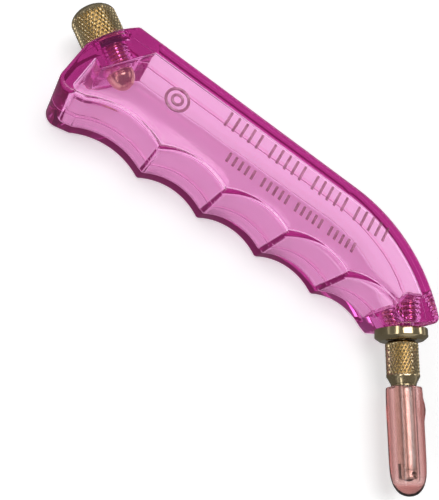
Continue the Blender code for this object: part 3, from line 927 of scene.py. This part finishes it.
def make_wheel():
    across = cross_axis(WHEEL_Y)
    rim = WHEEL_RADIUS - 0.18
    wheel = [(rim, 0.5), (WHEEL_RADIUS, 0.0), (rim, -0.5), (0.7, -0.5), (0.7, 0.5)]
    carbide = steel("wheel_carbide_ground", (0.22, 0.22, 0.24), (0.4, 0.4, 0.43), 0.18)
    turned_piece("cutting_wheel_ground", wheel, carbide, "wheel", "carbide", "cutting_wheel", across)
    pin = soften([(0, 1.6), (0.6, 1.6), (0.6, -1.6), (0, -1.6)], 0.1)
    pin_steel = steel("wheel_axle_steel", (0.4, 0.4, 0.4), (0.6, 0.6, 0.6), 0.2)
    turned_piece("wheel_axle_pin", pin, pin_steel, "cutting_head", "steel", "wheel_axle", across)


def make_head_screw():
    screw = [(0, -1.75), (0.6, -1.75), (0.6, -2.95), (1.0, -2.95), (1.0, -4.2), (0.45, -4.2), (0.45, -3.6),
             (0, -3.6)]
    finish = steel("head_screw_steel", (0.35, 0.35, 0.35), (0.55, 0.54, 0.53), 0.3)
    across = cross_axis(SCREW_Y)
    turned_piece("head_screw_turned", soften(screw, 0.06), finish, "barrel", "steel", "head_screw", across)


def make_wick():
    def twist(radius, height, turn):
        return radius - 0.07 * (1 - triangle(4 * turn + height / 3))

    top = SHANK_TOP - 0.5
    bottom = WHEEL_Y + WHEEL_RADIUS + 0.7
    profile = densify(soften([(0, top), (0.6, top), (0.6, bottom), (0, bottom)], 0.15), top, bottom, 0.25)
    mesh = revolve("oil_wick_twisted", profile, HEAD, 32, twist)
    wick = add_piece("oil_wick_twisted", mesh, cotton("wick_cotton"), 60)
    place(wick, "cutting_head", "cotton", "oil_wick")


# ---- protective sleeve --------------------------------------------------------------------------
def make_sleeve():
    """The vinyl sleeve: a straight tube on one side, swollen on the other, and closed at its tip."""
    rim = -15.7
    inside = [(0, -41.0), (1.8, -40.9), (2.6, -40.3), (2.85, -39.6), (2.85, rim)]
    outside = [(4.62, rim), (4.85, rim - 0.3), (4.93, -17.5), (4.97, -19.4), (5.0, -21.8), (4.98, -24.0),
               (4.95, -28.0), (4.92, -32.0), (4.88, -36.0), (4.75, -38.6), (4.4, -40.3), (3.7, -42.0),
               (2.5, -43.3), (1.2, -43.88), (0, SLEEVE_END)]
    profile = densify(soften(inside + outside, 1.2, 6), rim, SLEEVE_END, 0.4)

    def relief(radius, height, turn):
        if radius < 3.5:
            return radius
        swell = max(0.0, 1 - ((height - BULGE_Y) / BULGE_REACH) ** 2) ** 2
        side = max(0.0, cos(tau * turn - BULGE_SIDE)) ** 3
        return radius + BULGE_RISE * swell * side

    mesh = revolve("protective_sleeve", profile, HEAD, FINE_STEPS, relief)
    sleeve = add_piece("protective_sleeve", mesh, salmon_vinyl("sleeve_vinyl"), 60)
    place(sleeve, "sleeve", "vinyl", "protective_cap")


# ---- studio -------------------------------------------------------------------------------------
CAMERA_PLACE = Vector((-124.205, -38.668, 188.718))
CAMERA_FORWARD = Vector((0.36261, 0.26728, -0.89279))
CAMERA_UP = Vector((-0.10193, 0.96362, 0.24708))
CAMERA_LENS = 58.5
CAMERA_SHIFT = -0.043

AMBIENT = 0.2
HORIZON_GLOW = 0.5
HORIZON_HEIGHT = 0.22
FLOOR_GLOW = 0.42
FLOOR_GAP = 0.0002
# how bright the floor looks to glossy rays: a painted darker reflection
PAINTED_FLOOR_REFLECTION = 0.15
SOFTBOXES = (
    # direction of its middle, direction of its length, half its width and length, strength
    (Vector((-0.05, 0.15, 0.98)), Vector((0, 1, 0)), 0.33, 0.22, 4.5),
    (Vector((-0.74, -0.20, 0.62)), Vector((-0.1, 0.95, 0.2)), 0.08, 0.75, 3.2),
    (Vector((0.72, 0.42, 0.52)), Vector((-0.4, 0.9, 0)), 0.10, 0.4, 2.4),
)
PENUMBRA = 0.05


def make_camera():
    data = bpy.data.cameras.new("camera")
    data.sensor_width = 36
    data.lens = CAMERA_LENS
    data.shift_x = CAMERA_SHIFT
    data.clip_start = 0.01
    camera = bpy.data.objects.new("camera", data)
    bpy.context.scene.collection.objects.link(camera)
    back = -CAMERA_FORWARD.normalized()
    right = CAMERA_UP.cross(back).normalized()
    up = back.cross(right)
    turn = Matrix((right, up, back)).transposed().to_4x4()
    camera.matrix_world = Matrix.Translation(TOOL @ CAMERA_PLACE) @ turn
    bpy.context.scene.camera = camera


def math_node(nodes, links, operation, *values):
    node = nodes.new("ShaderNodeMath")
    node.operation = operation
    for value, socket in zip(values, node.inputs):
        if isinstance(value, float):
            socket.default_value = value
        else:
            links.new(value, socket)
    return node.outputs["Value"]


def dot_with(nodes, links, direction, axis):
    dot = nodes.new("ShaderNodeVectorMath")
    dot.operation = "DOT_PRODUCT"
    dot.inputs[1].default_value = axis
    links.new(direction, dot.inputs[0])
    return dot.outputs["Value"]


def make_world():
    """Three softboxes in a dim even tent, with a paler band along the horizon."""
    world = bpy.data.worlds.new("studio")
    bpy.context.scene.world = world
    world.use_nodes = True
    nodes = world.node_tree.nodes
    links = world.node_tree.links
    direction = nodes.new("ShaderNodeTexCoord").outputs["Generated"]
    total = None
    for middle, along, half_width, half_length, strength in SOFTBOXES:
        facing = middle.normalized()
        length_axis = (along - facing * along.dot(facing)).normalized()
        width_axis = facing.cross(length_axis)
        ahead = dot_with(nodes, links, direction, facing)
        mask = None
        for axis, half in ((width_axis, half_width), (length_axis, half_length)):
            aside = math_node(nodes, links, "DIVIDE", dot_with(nodes, links, direction, axis), ahead)
            reach = math_node(nodes, links, "ABSOLUTE", aside)
            edge = nodes.new("ShaderNodeMapRange")
            edge.interpolation_type = "SMOOTHSTEP"
            edge.inputs["From Min"].default_value = half + PENUMBRA
            edge.inputs["From Max"].default_value = half - PENUMBRA
            links.new(reach, edge.inputs["Value"])
            within = edge.outputs["Result"]
            mask = math_node(nodes, links, "MULTIPLY", mask, within) if mask else within
        in_front = math_node(nodes, links, "GREATER_THAN", ahead, 0.0)
        mask = math_node(nodes, links, "MULTIPLY", mask, in_front)
        glow = math_node(nodes, links, "MULTIPLY", mask, strength)
        total = math_node(nodes, links, "ADD", glow, total or AMBIENT)
    height = dot_with(nodes, links, direction, (0, 0, 1))
    haze = nodes.new("ShaderNodeMapRange")
    haze.interpolation_type = "SMOOTHSTEP"
    haze.inputs["From Min"].default_value = HORIZON_HEIGHT
    haze.inputs["From Max"].default_value = 0.0
    haze.inputs["To Max"].default_value = HORIZON_GLOW
    links.new(height, haze.inputs["Value"])
    total = math_node(nodes, links, "ADD", total, haze.outputs["Result"])
    background = nodes["Background"]
    background.inputs["Color"].default_value = (1, 1, 1, 1)
    links.new(total, background.inputs["Strength"])


def light_table():
    """Pale matt acrylic, lit softly from below.  Glossy rays see a dimmer sheet in its place: a painted
    darker reflection of it in polished pieces.
    """
    finish = Finish("floor_white", (0.88, 0.88, 0.88), 0.9)
    finish.set("Emission Color", (1.0, 1.0, 1.0, 1.0))
    finish.set("Emission Strength", FLOOR_GLOW)
    # painted reflection: glossy rays that are not transmission rays see this dimmer emission instead of the
    # floor
    dim = finish.nodes.new("ShaderNodeEmission")
    dim.inputs["Color"].default_value = (1, 1, 1, 1)
    dim.inputs["Strength"].default_value = PAINTED_FLOOR_REFLECTION
    ray = finish.nodes.new("ShaderNodeLightPath")
    only_mirrored = finish.nodes.new("ShaderNodeMath")
    only_mirrored.operation = "SUBTRACT"
    only_mirrored.use_clamp = True
    finish.links.new(ray.outputs["Is Glossy Ray"], only_mirrored.inputs[0])
    finish.links.new(ray.outputs["Is Transmission Ray"], only_mirrored.inputs[1])
    mix = finish.nodes.new("ShaderNodeMixShader")
    finish.links.new(only_mirrored.outputs["Value"], mix.inputs["Fac"])
    finish.links.new(finish.shader.outputs["BSDF"], mix.inputs[1])
    finish.links.new(dim.outputs["Emission"], mix.inputs[2])
    finish.links.new(mix.outputs["Shader"], finish.nodes["Material Output"].inputs["Surface"])
    return finish.material


def make_floor():
    body = bmesh.new()
    bmesh.ops.create_grid(body, x_segments=1, y_segments=1, size=2.0)
    mesh = bpy.data.meshes.new("floor")
    body.to_mesh(mesh)
    body.free()
    surface = bpy.data.objects.new("floor", mesh)
    bpy.context.scene.collection.objects.link(surface)
    surface.location = (0, 0, -FLOOR_GAP)
    mesh.materials.append(light_table())


def set_view():
    settings = bpy.context.scene.view_settings
    settings.view_transform = "Standard"
    settings.look = "None"


# ---- assembly -----------------------------------------------------------------------------------
def main():
    make_camera()
    make_world()
    make_floor()
    set_view()
    make_shell("front_shell_moulded", "grip_front_shell", 1, pink_acrylic("front_shell_acrylic"))
    make_shell("back_shell_moulded", "grip_back_shell", -1, pink_acrylic("back_shell_acrylic"))
    make_marks()
    make_filler_cap()
    make_socket()
    make_barrel()
    make_seals()
    make_valve()
    make_spring()
    make_cutting_head()
    make_wheel()
    make_head_screw()
    make_wick()
    make_sleeve()


main()
